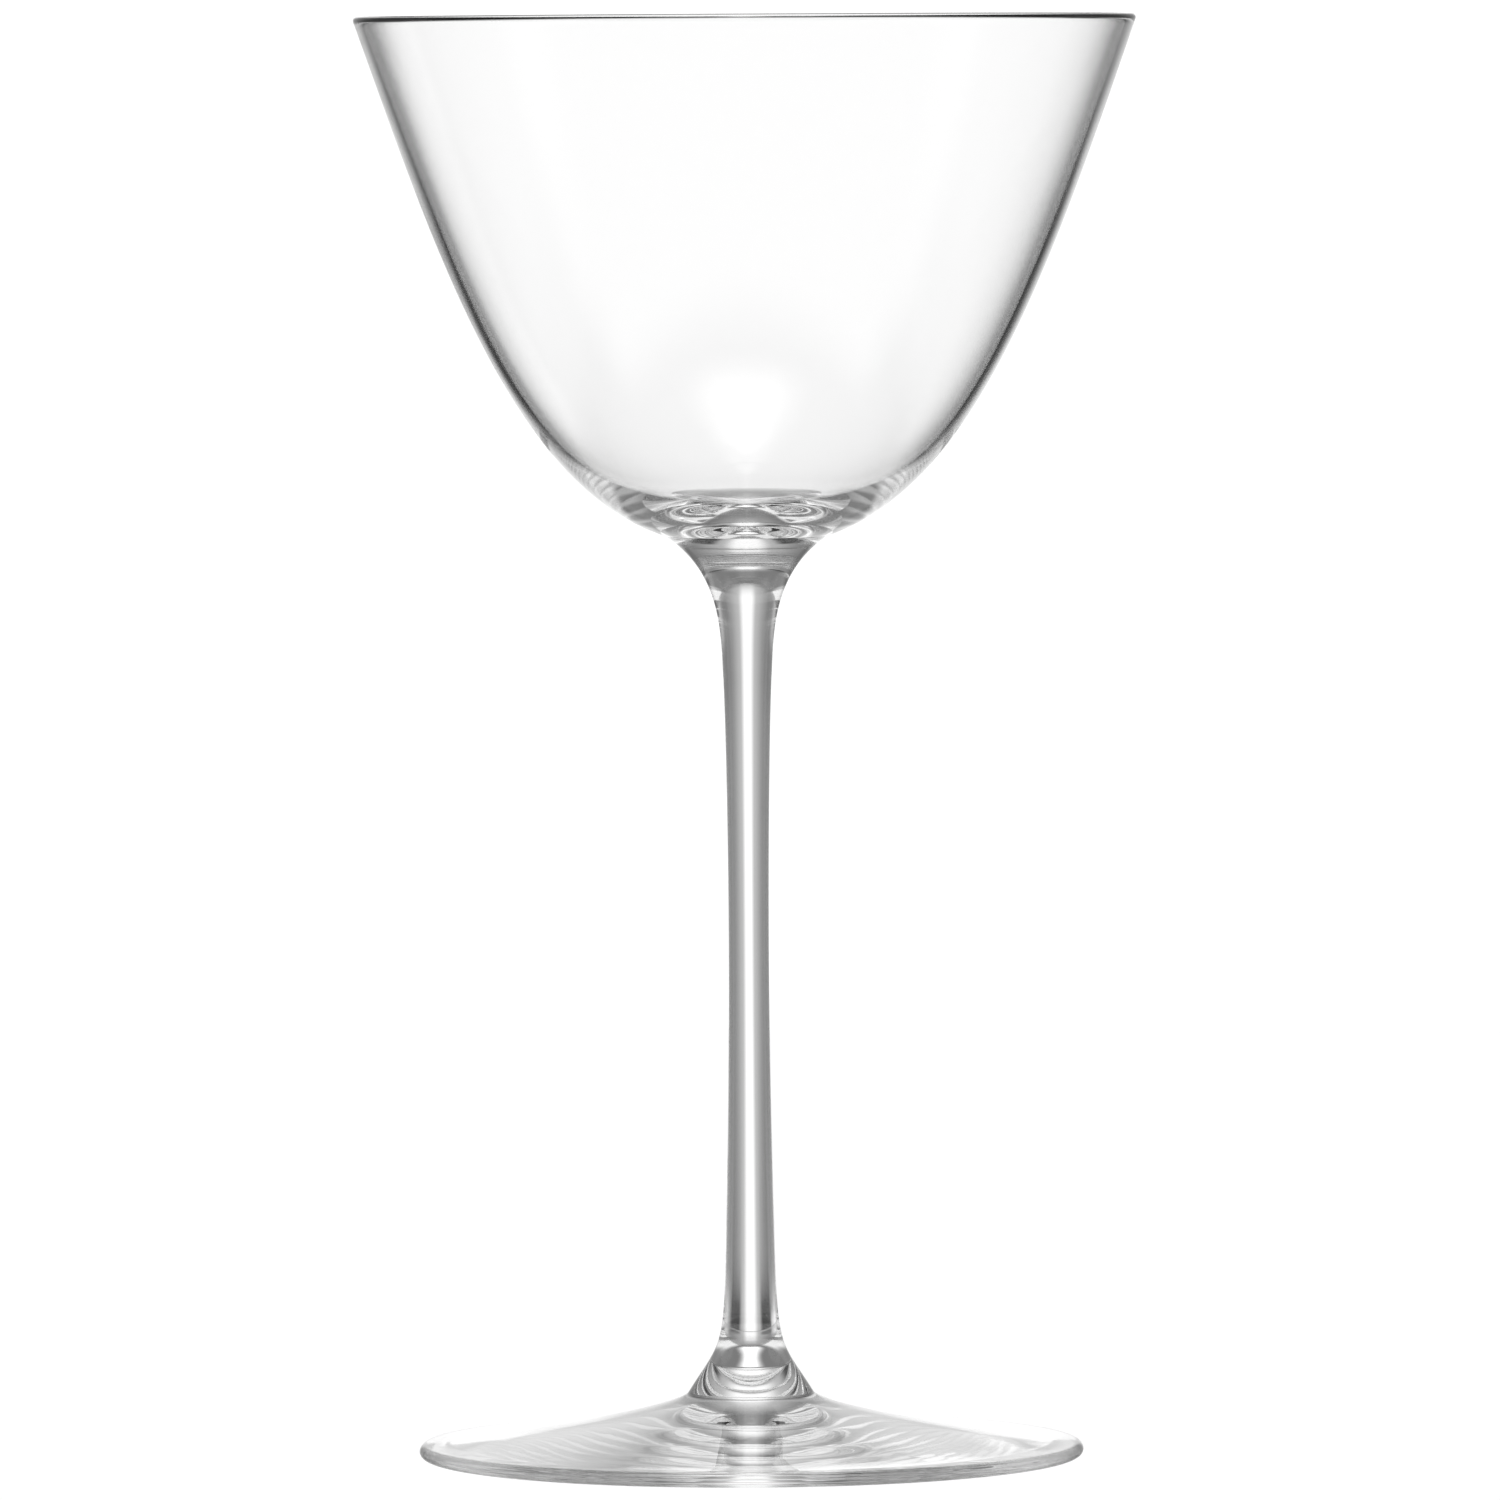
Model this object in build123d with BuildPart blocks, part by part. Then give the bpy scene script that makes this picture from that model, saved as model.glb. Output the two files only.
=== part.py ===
# A stemmed martini glass of clear blown glass, in millimetres, +Z up.
# The origin is on the axis, in the plane the foot stands on.
# Three pieces of glass are fused end to end: bowl, stem and foot.
# Each piece is one outline turned about Z, drawn with x as the radius and y as the height.
from build123d import *
from math import cos, radians, sin
import os

os.makedirs("parts", exist_ok=True)

# Overall sizes
height = 184.0
rim_diameter = 99.7
foot_diameter = 84.8
bowl_depth = 66.3
crown_height = 8.3

# Fused joints: their radius on the outside, and how far each domed joint face dips at the axis
bowl_joint_radius = 10.45
foot_joint_radius = 8.0
bowl_joint_sag = 1.4
foot_joint_sag = 1.0

# Bowl: the glass's thickness at the lip and on the axis, and the outer wall's slope at each end
rim_wall = 1.1
bottom_thickness = 3.4
wall_slope_at_lip = 70.8
wall_slope_at_joint = 17.8

# Bowl: the wall's thickness between joint and lip, as (place along the outer wall, thickness)
wall_stations = ((0.06, 2.6), (0.15, 1.9), (0.28, 1.35), (0.5, 1.22), (0.78, 1.14))

# Stem: a slender drawn shaft with a waist, and a flare at each end
waist_radius = 2.59
neck_radius = 3.13
ankle_radius = 3.13
upper_flare_length = 17.7
lower_flare_length = 18.2
neck_slope = 86.7
ankle_slope = 91.3
flare_slope_at_bowl = 32.6
flare_slope_at_foot = 122.3

# Foot: a disc with a low crown, a rounded edge and a hollowed underside
foot_edge_thickness = 1.85
top_slope_at_edge = -4.25
resting_ring_width = 3.0
hollow_height = 3.3
hollow_slope_at_ring = 175.6

# How far each curve follows its end slope, as a share of the length it covers
outer_hold_at_joint = 0.3
outer_hold_at_lip = 0.48
lower_flare_holds = (0.41, 0.72)
lower_shaft_holds = (0.34, 0.38)
upper_shaft_holds = (0.41, 0.14)
upper_flare_holds = (0.28, 0.49)
foot_top_holds = (0.056, 0.49)
hollow_holds = (0.6, 0.28)

# The shaft's waist, as a share of the way up from the lower flare to the upper one
waist_place = 0.54

# Heights along the stem
stem_bottom = crown_height
stem_top = height - bowl_depth
ankle_height = stem_bottom + lower_flare_length
neck_height = stem_top - upper_flare_length
shaft_length = neck_height - ankle_height
waist_height = ankle_height + waist_place * shaft_length
lower_shaft_length = waist_height - ankle_height
upper_shaft_length = neck_height - waist_height


def carry(point, distance, slope):
    """The point a distance away, in the direction that makes this angle with the x axis."""
    x = point[0] + distance * cos(radians(slope))
    y = point[1] + distance * sin(radians(slope))
    return (x, y)


# Points that two pieces share
bowl_crease = (bowl_joint_radius, stem_top)
bowl_joint_centre = (0, stem_top - bowl_joint_sag)
foot_crease = (foot_joint_radius, stem_bottom)
foot_joint_centre = (0, stem_bottom - foot_joint_sag)

# Bowl: the lip is a half round between the outer and the inner wall
lip_radius = rim_wall / 2
lip_centre = (rim_diameter / 2 - lip_radius, height - lip_radius)
lip_outer = carry(lip_centre, lip_radius, wall_slope_at_lip - 90)
lip_inner = carry(lip_centre, lip_radius, wall_slope_at_lip + 90)
lip_direction = (cos(radians(wall_slope_at_lip)), sin(radians(wall_slope_at_lip)))
outer_low = carry(bowl_crease, outer_hold_at_joint * bowl_depth, wall_slope_at_joint)
outer_high = carry(lip_outer, -outer_hold_at_lip * bowl_depth, wall_slope_at_lip)
inner_bottom = (0, stem_top - bowl_joint_sag + bottom_thickness)

with BuildPart() as bowl:
    with BuildSketch(Plane.XZ):
        with BuildLine():
            TangentArc(bowl_joint_centre, bowl_crease, tangent=(1, 0))
            outer_wall = Bezier(bowl_crease, outer_low, outer_high, lip_outer)
            TangentArc(lip_outer, lip_inner, tangent=lip_direction)
            inner_wall = [inner_bottom]
            for place, thickness in wall_stations:
                along = outer_wall % place
                on_outer = outer_wall @ place
                inner_x = on_outer.X - thickness * along.Y
                inner_y = on_outer.Y + thickness * along.X
                inner_wall.append((inner_x, inner_y))
            Spline(*inner_wall, lip_inner, tangents=((1, 0), lip_direction))
            Line(inner_bottom, bowl_joint_centre)
        make_face()
    revolve(axis=Axis.Z)
bowl.part.label = "bowl"
export_step(bowl.part, "parts/bowl.step")

# Stem: its ends fit the domed underside of the bowl and the dished crown of the foot
ankle = (ankle_radius, ankle_height)
waist = (waist_radius, waist_height)
neck = (neck_radius, neck_height)
flare_low_start = carry(foot_crease, lower_flare_holds[0] * lower_flare_length, flare_slope_at_foot)
flare_low_end = carry(ankle, -lower_flare_holds[1] * lower_flare_length, ankle_slope)
shaft_low_start = carry(ankle, lower_shaft_holds[0] * lower_shaft_length, ankle_slope)
shaft_low_end = (waist_radius, waist_height - lower_shaft_holds[1] * lower_shaft_length)
shaft_high_start = (waist_radius, waist_height + upper_shaft_holds[0] * upper_shaft_length)
shaft_high_end = carry(neck, -upper_shaft_holds[1] * upper_shaft_length, neck_slope)
flare_high_start = carry(neck, upper_flare_holds[0] * upper_flare_length, neck_slope)
flare_high_end = carry(bowl_crease, -upper_flare_holds[1] * upper_flare_length, flare_slope_at_bowl)

with BuildPart() as stem:
    with BuildSketch(Plane.XZ):
        with BuildLine():
            TangentArc(foot_joint_centre, foot_crease, tangent=(1, 0))
            Bezier(foot_crease, flare_low_start, flare_low_end, ankle)
            Bezier(ankle, shaft_low_start, shaft_low_end, waist)
            Bezier(waist, shaft_high_start, shaft_high_end, neck)
            Bezier(neck, flare_high_start, flare_high_end, bowl_crease)
            TangentArc(bowl_joint_centre, bowl_crease, tangent=(1, 0))
            Line(bowl_joint_centre, foot_joint_centre)
        make_face()
    revolve(axis=Axis.Z)
stem.part.label = "stem"
export_step(stem.part, "parts/stem.step")

# Foot: its crown carries on from the stem's flare, it stands on a narrow flat ring,
# and the underside rises inside the ring
foot_radius = foot_diameter / 2
foot_reach = foot_radius - foot_joint_radius
edge_half = foot_edge_thickness / 2
edge_top = (foot_radius - edge_half, foot_edge_thickness)
edge_middle = (foot_radius, edge_half)
crown_hold = carry(foot_crease, foot_top_holds[0] * foot_reach, flare_slope_at_foot - 180)
slope_hold = carry(edge_top, -foot_top_holds[1] * foot_reach, top_slope_at_edge)
edge_direction = (cos(radians(top_slope_at_edge)), sin(radians(top_slope_at_edge)))
ring_outer = (foot_radius - edge_half, 0)
ring_inner = (ring_outer[0] - resting_ring_width, 0)
hollow_top = (0, hollow_height)
hollow_edge = carry(ring_inner, hollow_holds[0] * ring_inner[0], hollow_slope_at_ring)
hollow_shoulder = (hollow_holds[1] * ring_inner[0], hollow_height)

with BuildPart() as foot:
    with BuildSketch(Plane.XZ):
        with BuildLine():
            TangentArc(foot_joint_centre, foot_crease, tangent=(1, 0))
            Bezier(foot_crease, crown_hold, slope_hold, edge_top)
            TangentArc(edge_top, edge_middle, tangent=edge_direction)
            TangentArc(edge_middle, ring_outer, tangent=(0, -1))
            Line(ring_outer, ring_inner)
            Bezier(ring_inner, hollow_edge, hollow_shoulder, hollow_top)
            Line(hollow_top, foot_joint_centre)
        make_face()
    revolve(axis=Axis.Z)
foot.part.label = "foot"
export_step(foot.part, "parts/foot.step")
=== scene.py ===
# A stemmed martini glass of clear blown glass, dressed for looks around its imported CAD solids.
# Blender's units are metres with +Z up; the glass's own outlines are drawn in millimetres.
from math import atan2, cos, hypot, pi, radians, sin

import bmesh
import bpy
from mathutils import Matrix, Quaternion, Vector


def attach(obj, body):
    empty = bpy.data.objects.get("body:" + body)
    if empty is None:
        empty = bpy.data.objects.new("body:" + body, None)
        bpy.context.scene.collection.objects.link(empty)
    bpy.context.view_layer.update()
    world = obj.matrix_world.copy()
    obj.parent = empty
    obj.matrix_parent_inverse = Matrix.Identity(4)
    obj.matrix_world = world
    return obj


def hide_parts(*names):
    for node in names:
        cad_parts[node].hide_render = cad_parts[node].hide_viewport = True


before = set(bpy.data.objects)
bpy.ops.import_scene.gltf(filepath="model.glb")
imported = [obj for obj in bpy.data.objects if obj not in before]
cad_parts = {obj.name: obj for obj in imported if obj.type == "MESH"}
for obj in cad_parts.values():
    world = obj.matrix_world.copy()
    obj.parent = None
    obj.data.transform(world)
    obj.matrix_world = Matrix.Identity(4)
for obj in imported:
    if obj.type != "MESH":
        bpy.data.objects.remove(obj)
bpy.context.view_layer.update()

MM = 0.001
SEGMENTS = 256

# ---------------------------------------------------------------- sizes, in millimetres and degrees
height = 184.0
rim_diameter = 99.7
foot_diameter = 84.8
bowl_depth = 66.3
crown_height = 8.3
bowl_joint_radius = 10.45
foot_joint_radius = 8.0
bowl_joint_sag = 1.4
foot_joint_sag = 1.0

rim_wall = 1.1
bottom_thickness = 3.4
slope_at_lip = 70.8
slope_at_bowl_joint = 17.8

waist = (2.59, 66.0)
neck = (3.13, 100.0)
ankle = (3.13, 26.5)
neck_slope = 86.7
ankle_slope = 91.3
flare_slope_at_bowl = 32.6
flare_slope_at_foot = 122.3

foot_edge_thickness = 1.85
top_slope_at_edge = -4.25
resting_ring_width = 3.0
hollow_height = 3.3
hollow_slope_at_ring = 175.6


# ---------------------------------------------------------------- outlines: x is the radius, y the height
def carry(point, distance, slope):
    """The point a distance away, in the direction that makes this angle with the x axis."""
    return (point[0] + distance * cos(radians(slope)), point[1] + distance * sin(radians(slope)))


def direction_of(slope):
    return (cos(radians(slope)), sin(radians(slope)))


def bezier(a, b, c, d, count):
    """count steps along the cubic curve from a to d, drawn towards b and c."""
    made = []
    for i in range(count + 1):
        t = i / count
        u = 1 - t
        weights = (u**3, 3 * u * u * t, 3 * u * t * t, t**3)
        made.append(tuple(sum(w * p[k] for w, p in zip(weights, (a, b, c, d))) for k in (0, 1)))
    return made


def tangent_arc(start, end, direction, count):
    """Points of the arc that leaves start along direction and passes through end."""
    normal = (-direction[1], direction[0])
    reach = (end[0] - start[0], end[1] - start[1])
    radius = (reach[0] ** 2 + reach[1] ** 2) / (2 * (reach[0] * normal[0] + reach[1] * normal[1]))
    centre = (start[0] + radius * normal[0], start[1] + radius * normal[1])
    first = atan2(start[1] - centre[1], start[0] - centre[0])
    turn = atan2(end[1] - centre[1], end[0] - centre[0]) - first
    if radius > 0 and turn < 0:
        turn += 2 * pi
    if radius < 0 and turn > 0:
        turn -= 2 * pi
    angles = [first + turn * i / count for i in range(count + 1)]
    return [(centre[0] + abs(radius) * cos(a), centre[1] + abs(radius) * sin(a)) for a in angles]


stem_top = height - bowl_depth
bowl_crease = (bowl_joint_radius, stem_top)
foot_crease = (foot_joint_radius, crown_height)


def bowl_outline():
    """The bowl's outer wall, lip and inner wall, from the crease to the axis."""
    lip_radius = rim_wall / 2
    lip_centre = (rim_diameter / 2 - lip_radius, height - lip_radius)
    lip_outer = carry(lip_centre, lip_radius, slope_at_lip - 90)
    lip_inner = carry(lip_centre, lip_radius, slope_at_lip + 90)
    bottom = (0, stem_top - bowl_joint_sag + bottom_thickness)
    outer_low = carry(bowl_crease, 20.0, slope_at_bowl_joint)
    outer_high = carry(lip_outer, -31.7, slope_at_lip)
    inner_low = (outer_low[0] - 8.2, bottom[1])
    inner_high = (outer_high[0] - 9.68, outer_high[1] - 25.36)
    outer = bezier(bowl_crease, outer_low, outer_high, lip_outer, 220)
    lip = tangent_arc(lip_outer, lip_inner, direction_of(slope_at_lip), 20)
    inner = bezier(lip_inner, inner_high, inner_low, bottom, 220)
    return outer, lip, inner


def stem_outline():
    """The stem's side, from the foot's crease up to the bowl's: flare, shaft with a waist, flare."""
    flare_low = bezier(
        foot_crease,
        carry(foot_crease, 7.45, flare_slope_at_foot),
        carry(ankle, -13.1, ankle_slope),
        ankle,
        160,
    )
    shaft_low = bezier(ankle, carry(ankle, 13.6, ankle_slope), (waist[0], waist[1] - 15.0), waist, 40)
    shaft_high = bezier(waist, (waist[0], waist[1] + 14.0), carry(neck, -4.8, neck_slope), neck, 50)
    flare_high = bezier(
        neck,
        carry(neck, 4.9, neck_slope),
        carry(bowl_crease, -8.74, flare_slope_at_bowl),
        bowl_crease,
        160,
    )
    return flare_low[:-1] + shaft_low[:-1] + shaft_high[:-1] + flare_high


def foot_outline():
    """The foot's crowned top, rounded edge, resting ring and hollow, from the crease to the axis."""
    edge_half = foot_edge_thickness / 2
    edge_x = foot_diameter / 2 - edge_half
    edge_top = (edge_x, foot_edge_thickness)
    edge_middle = (foot_diameter / 2, edge_half)
    ring_outer = (edge_x, 0)
    ring_inner = (edge_x - resting_ring_width, 0)
    hollow_top = (0, hollow_height)
    crown_hold = carry(foot_crease, 1.9, flare_slope_at_foot - 180)
    slope_hold = carry(edge_top, -16.6, top_slope_at_edge)
    hollow_edge = carry(ring_inner, 0.6 * ring_inner[0], hollow_slope_at_ring)
    hollow_shoulder = (0.28 * ring_inner[0], hollow_height)
    top = bezier(foot_crease, crown_hold, slope_hold, edge_top, 220)
    upper_edge = tangent_arc(edge_top, edge_middle, direction_of(top_slope_at_edge), 12)
    lower_edge = tangent_arc(edge_middle, ring_outer, (0, -1), 12)
    hollow = bezier(ring_inner, hollow_edge, hollow_shoulder, hollow_top, 140)
    return top, upper_edge[:-1] + lower_edge, [ring_outer, ring_inner], hollow


# ---------------------------------------------------------------- meshes
def hand_made(r, z, a):
    """Where a point of the true outline really is: a little out of round, and the foot a little uneven."""
    wide = r * (1 + 0.0015 * cos(2 * a + 0.8 + 0.02 * z) + 0.0008 * cos(3 * a - 1.1 - 0.03 * z))
    if z >= crown_height:
        return wide, z
    on_foot = min(1.0, max(0.0, (r - 9) / 12)) * min(1.0, max(0.0, (40.5 - r) / 8)) * min(1.0, z / 1.8)
    uneven = 0.09 * cos(a - 2.6) + 0.06 * cos(3 * a + 0.4) + 0.03 * cos(5 * a + 0.25 * r)
    return wide, z + on_foot * uneven


def turned(name, runs, materials):
    """A closed body of revolution. runs holds (points, material index); each starts where the last ended."""
    verts, faces, index = [], [], []

    def ring(point):
        r, z = point
        first = len(verts)
        if r < 1e-6:
            verts.append((0, 0, z * MM))
            return [first]
        for s in range(SEGMENTS):
            a = 2 * pi * s / SEGMENTS
            wide, high = hand_made(r, z, a)
            verts.append((wide * cos(a) * MM, wide * sin(a) * MM, high * MM))
        return list(range(first, first + SEGMENTS))

    def join(last, now, material):
        for s in range(SEGMENTS):
            t = (s + 1) % SEGMENTS
            if len(last) == 1:
                faces.append((last[0], now[s], now[t]))
            elif len(now) == 1:
                faces.append((last[s], now[0], last[t]))
            else:
                faces.append((last[s], now[s], now[t], last[t]))
            index.append(material)

    last = ring(runs[0][0][0])
    for points, material in runs:
        for point in points[1:]:
            now = ring(point)
            join(last, now, material)
            last = now
    mesh = bpy.data.meshes.new(name)
    mesh.from_pydata(verts, [], faces)
    for m in materials:
        mesh.materials.append(m)
    mesh.polygons.foreach_set("material_index", index)
    mesh.polygons.foreach_set("use_smooth", [True] * len(faces))
    mesh.update()
    keep_seams_sharp(mesh)
    piece = bpy.data.objects.new(name, mesh)
    bpy.context.scene.collection.objects.link(piece)
    return piece


def keep_seams_sharp(mesh):
    """Faces all the outside out, and breaks the smooth shading where a seam's face meets the surface."""
    bm = bmesh.new()
    bm.from_mesh(mesh)
    bmesh.ops.recalc_face_normals(bm, faces=bm.faces)
    for edge in bm.edges:
        if len({face.material_index for face in edge.link_faces}) > 1:
            edge.smooth = False
    bm.to_mesh(mesh)
    bm.free()


# ---------------------------------------------------------------- materials
def glass(name, stretch, wave, lines):
    """Clear colourless glass: faintly wavy from being worked by hand, with a fine bloom on the polish.

    stretch draws the waves out along the piece; wave is their spacing and lines the spacing of the fine ones,
    in metres.
    """
    material = bpy.data.materials.new(name)
    material.use_nodes = True
    nodes, links = material.node_tree.nodes, material.node_tree.links
    surface = nodes["Principled BSDF"]
    surface.inputs["Base Color"].default_value = (1, 1, 1, 1)
    surface.inputs["Transmission Weight"].default_value = 1.0
    surface.inputs["IOR"].default_value = 1.52
    coordinates = nodes.new("ShaderNodeTexCoord")
    mapping = nodes.new("ShaderNodeMapping")
    mapping.inputs["Scale"].default_value = stretch
    links.new(coordinates.outputs["Object"], mapping.inputs["Vector"])

    def noise(spacing, detail):
        made = nodes.new("ShaderNodeTexNoise")
        made.inputs["Scale"].default_value = 1 / spacing
        made.inputs["Detail"].default_value = detail
        links.new(mapping.outputs["Vector"], made.inputs["Vector"])
        return made.outputs["Fac"]

    def bump(height_of, depth):
        made = nodes.new("ShaderNodeBump")
        made.inputs["Strength"].default_value = 1.0
        made.inputs["Distance"].default_value = depth
        links.new(height_of, made.inputs["Height"])
        return made

    waves, fine, bloom = noise(wave, 1.0), noise(lines, 3.0), noise(0.4 * lines, 4.0)
    polish = nodes.new("ShaderNodeMapRange")
    polish.inputs["From Min"].default_value = 0.55
    polish.inputs["From Max"].default_value = 0.8
    polish.inputs["To Min"].default_value = 0.0
    polish.inputs["To Max"].default_value = 0.02
    links.new(bloom, polish.inputs["Value"])
    links.new(polish.outputs["Result"], surface.inputs["Roughness"])
    broad = bump(waves, 0.00003)
    small = bump(fine, 0.000003)
    links.new(broad.outputs["Normal"], small.inputs["Normal"])
    links.new(small.outputs["Normal"], surface.inputs["Normal"])
    return material


def fused(name):
    """The seam between two pieces that were fused hot: there is glass on both sides, so nothing shows."""
    material = bpy.data.materials.new(name)
    material.use_nodes = True
    surface = material.node_tree.nodes["Principled BSDF"]
    surface.inputs["Base Color"].default_value = (1, 1, 1, 1)
    surface.inputs["Alpha"].default_value = 0.0
    return material


def pale_table(name):
    """The pale top that the glass stands on, lit evenly so that it runs into the backdrop."""
    material = bpy.data.materials.new(name)
    material.use_nodes = True
    surface = material.node_tree.nodes["Principled BSDF"]
    surface.inputs["Base Color"].default_value = (0.3, 0.3, 0.3, 1)
    surface.inputs["Roughness"].default_value = 0.9
    surface.inputs["Specular IOR Level"].default_value = 0.0
    surface.inputs["Emission Color"].default_value = (1, 1, 1, 1)
    surface.inputs["Emission Strength"].default_value = 0.95
    return material


# ---------------------------------------------------------------- the three pieces of glass
GLASS, SEAM = 0, 1
bowl_glass = glass("bowl_glass", (1, 1, 0.6), 0.018, 0.006)
stem_glass = glass("stem_glass", (1, 1, 0.12), 0.006, 0.0015)
foot_glass = glass("foot_glass", (1, 1, 1), 0.012, 0.004)
seam = fused("fused_seam")

bowl_joint = tangent_arc((0, stem_top - bowl_joint_sag), bowl_crease, (1, 0), 16)
foot_joint = tangent_arc((0, crown_height - foot_joint_sag), foot_crease, (1, 0), 16)
bowl_runs = [(bowl_joint, SEAM)] + [(run, GLASS) for run in bowl_outline()]
stem_runs = [(foot_joint, SEAM), (stem_outline(), GLASS), (bowl_joint[::-1], SEAM)]
foot_runs = [(foot_joint, SEAM)] + [(run, GLASS) for run in foot_outline()]

bowl = turned("blown_bowl", bowl_runs, [bowl_glass, seam])
stem = turned("drawn_stem", stem_runs, [stem_glass, seam])
foot = turned("pressed_foot", foot_runs, [foot_glass, seam])
for piece, node_name in ((bowl, "bowl"), (stem, "stem"), (foot, "foot")):
    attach(piece, "root")
    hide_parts(node_name)

# ---------------------------------------------------------------- floor, just under the foot
floor_radius = 0.8
floor_z = -0.00002
floor_sides = 96
corners = [2 * pi * i / floor_sides for i in range(floor_sides)]
floor_mesh = bpy.data.meshes.new("floor")
floor_mesh.from_pydata(
    [(floor_radius * cos(a), floor_radius * sin(a), floor_z) for a in corners],
    [],
    [tuple(range(floor_sides))],
)
floor_mesh.materials.append(pale_table("pale_table"))
floor = bpy.data.objects.new("floor", floor_mesh)
bpy.context.scene.collection.objects.link(floor)
floor.visible_transmission = False
floor.visible_glossy = False

# ---------------------------------------------------------------- studio light
world = bpy.data.worlds.new("studio")
bpy.context.scene.world = world
world.use_nodes = True
world_nodes, world_links = world.node_tree.nodes, world.node_tree.links
world_nodes.clear()

# Soft lights, in degrees round from behind the glass and above the horizon, the same on both sides:
# brightness, (azimuth from, to, fade), (elevation from, to, fade)
LAMPS = (
    (0.52, (-4, 4, 8), (-26, 20, 24)),  # strip behind the glass
    (0.35, (-4, 4, 30), (-28, 34, 30)),  # its glow on the backdrop
    (0.45, (52, 100, 16), (-36, -14, 9)),  # softboxes low at the sides
    (0.30, (60, 110, 20), (8, 26, 8)),  # softboxes high at the sides
    (0.60, (80, 100, 12), (-14, 4, 6)),  # panels level at the sides
    (0.73, (115, 200, 25), (-46, 0, 10)),  # pale wall behind the camera
    (1.20, (165, 200, 40), (-85, -63, 8)),  # lamp below the camera
)
LEFT_BOX = (0.35, (-56, -40, 6), (-33, -17, 6))
FLAG = (0.85, (19, 32, 7), (-27, -11, 7))
FILL = 0.20
BACKDROP = 1.15


def node(kind, **settings):
    made = world_nodes.new(kind)
    for key, value in settings.items():
        setattr(made, key, value)
    return made


def put(socket_or_value, target):
    if hasattr(socket_or_value, "is_output"):
        world_links.new(socket_or_value, target)
    else:
        target.default_value = socket_or_value


def maths(operation, a, b=0.0):
    made = node("ShaderNodeMath", operation=operation)
    put(a, made.inputs[0])
    put(b, made.inputs[1])
    return made.outputs[0]


def dot(direction, axis):
    made = node("ShaderNodeVectorMath", operation="DOT_PRODUCT")
    world_links.new(direction, made.inputs[0])
    made.inputs[1].default_value = axis
    return made.outputs["Value"]


def within(value, low, high, fade):
    """1 where value is between low and high, falling smoothly to 0 over fade on each side."""
    from_middle = maths("ABSOLUTE", maths("SUBTRACT", value, (low + high) / 2))
    edge = node("ShaderNodeMapRange", interpolation_type="SMOOTHSTEP")
    put(maths("SUBTRACT", from_middle, (high - low) / 2), edge.inputs["Value"])
    edge.inputs["From Min"].default_value = 0
    edge.inputs["From Max"].default_value = fade
    edge.inputs["To Min"].default_value = 1
    edge.inputs["To Max"].default_value = 0
    return edge.outputs["Result"]


def studio_light(direction):
    """The studio's brightness in a direction: fill and lamps, cut by the black flags beside the strip."""
    degrees = 180 / pi
    elevation = maths("MULTIPLY", maths("ARCSINE", dot(direction, (0, 0, 1))), degrees)
    around = maths("ARCTAN2", dot(direction, (1, 0, 0)), dot(direction, (0, 1, 0)))
    azimuth = maths("MULTIPLY", around, degrees)
    aside = maths("ABSOLUTE", azimuth)

    def lit(lamp, angle):
        level, across, up = lamp
        return maths("MULTIPLY", maths("MULTIPLY", within(angle, *across), within(elevation, *up)), level)

    total = maths("ADD", lit(LEFT_BOX, azimuth), FILL)
    for lamp in LAMPS:
        total = maths("ADD", total, lit(lamp, aside))
    return maths("MULTIPLY", total, maths("SUBTRACT", 1.0, lit(FLAG, aside)))


studio = node("ShaderNodeBackground")
world_links.new(studio_light(node("ShaderNodeTexCoord").outputs["Generated"]), studio.inputs["Color"])
studio.inputs["Strength"].default_value = 1.0
backdrop = node("ShaderNodeBackground")
backdrop.inputs["Color"].default_value = (1, 1, 1, 1)
backdrop.inputs["Strength"].default_value = BACKDROP
choice = node("ShaderNodeMixShader")
world_links.new(node("ShaderNodeLightPath").outputs["Is Camera Ray"], choice.inputs[0])
world_links.new(studio.outputs[0], choice.inputs[1])
world_links.new(backdrop.outputs[0], choice.inputs[2])
world_links.new(choice.outputs[0], node("ShaderNodeOutputWorld").inputs[0])

# ---------------------------------------------------------------- camera
distance = 1.98
eye_height = 0.1905
aim = Vector((0.00028, 0, 0.09035))
view_width = 0.19125
roll = -0.3
sensor = 36

lens_data = bpy.data.cameras.new("camera")
lens_data.sensor_width = sensor
lens_data.lens = sensor / view_width * hypot(distance, eye_height - aim.z)
lens_data.clip_start = 0.01
lens_data.clip_end = 20
camera = bpy.data.objects.new("camera", lens_data)
bpy.context.scene.collection.objects.link(camera)
camera.location = (aim.x, -distance, eye_height)
camera.rotation_mode = "QUATERNION"
level_view = (aim - camera.location).to_track_quat("-Z", "Y")
camera.rotation_quaternion = level_view @ Quaternion((0, 0, 1), radians(roll))
bpy.context.scene.camera = camera

# Light crosses the stem and the foot's plate many times before it leaves the glass
scene = bpy.context.scene
scene.view_settings.view_transform = "Standard"
scene.cycles.max_bounces = 64
scene.cycles.transmission_bounces = 64
scene.cycles.glossy_bounces = 64
scene.cycles.transparent_max_bounces = 64
scene.cycles.caustics_refractive = True
scene.cycles.caustics_reflective = True
scene.cycles.blur_glossy = 0.0
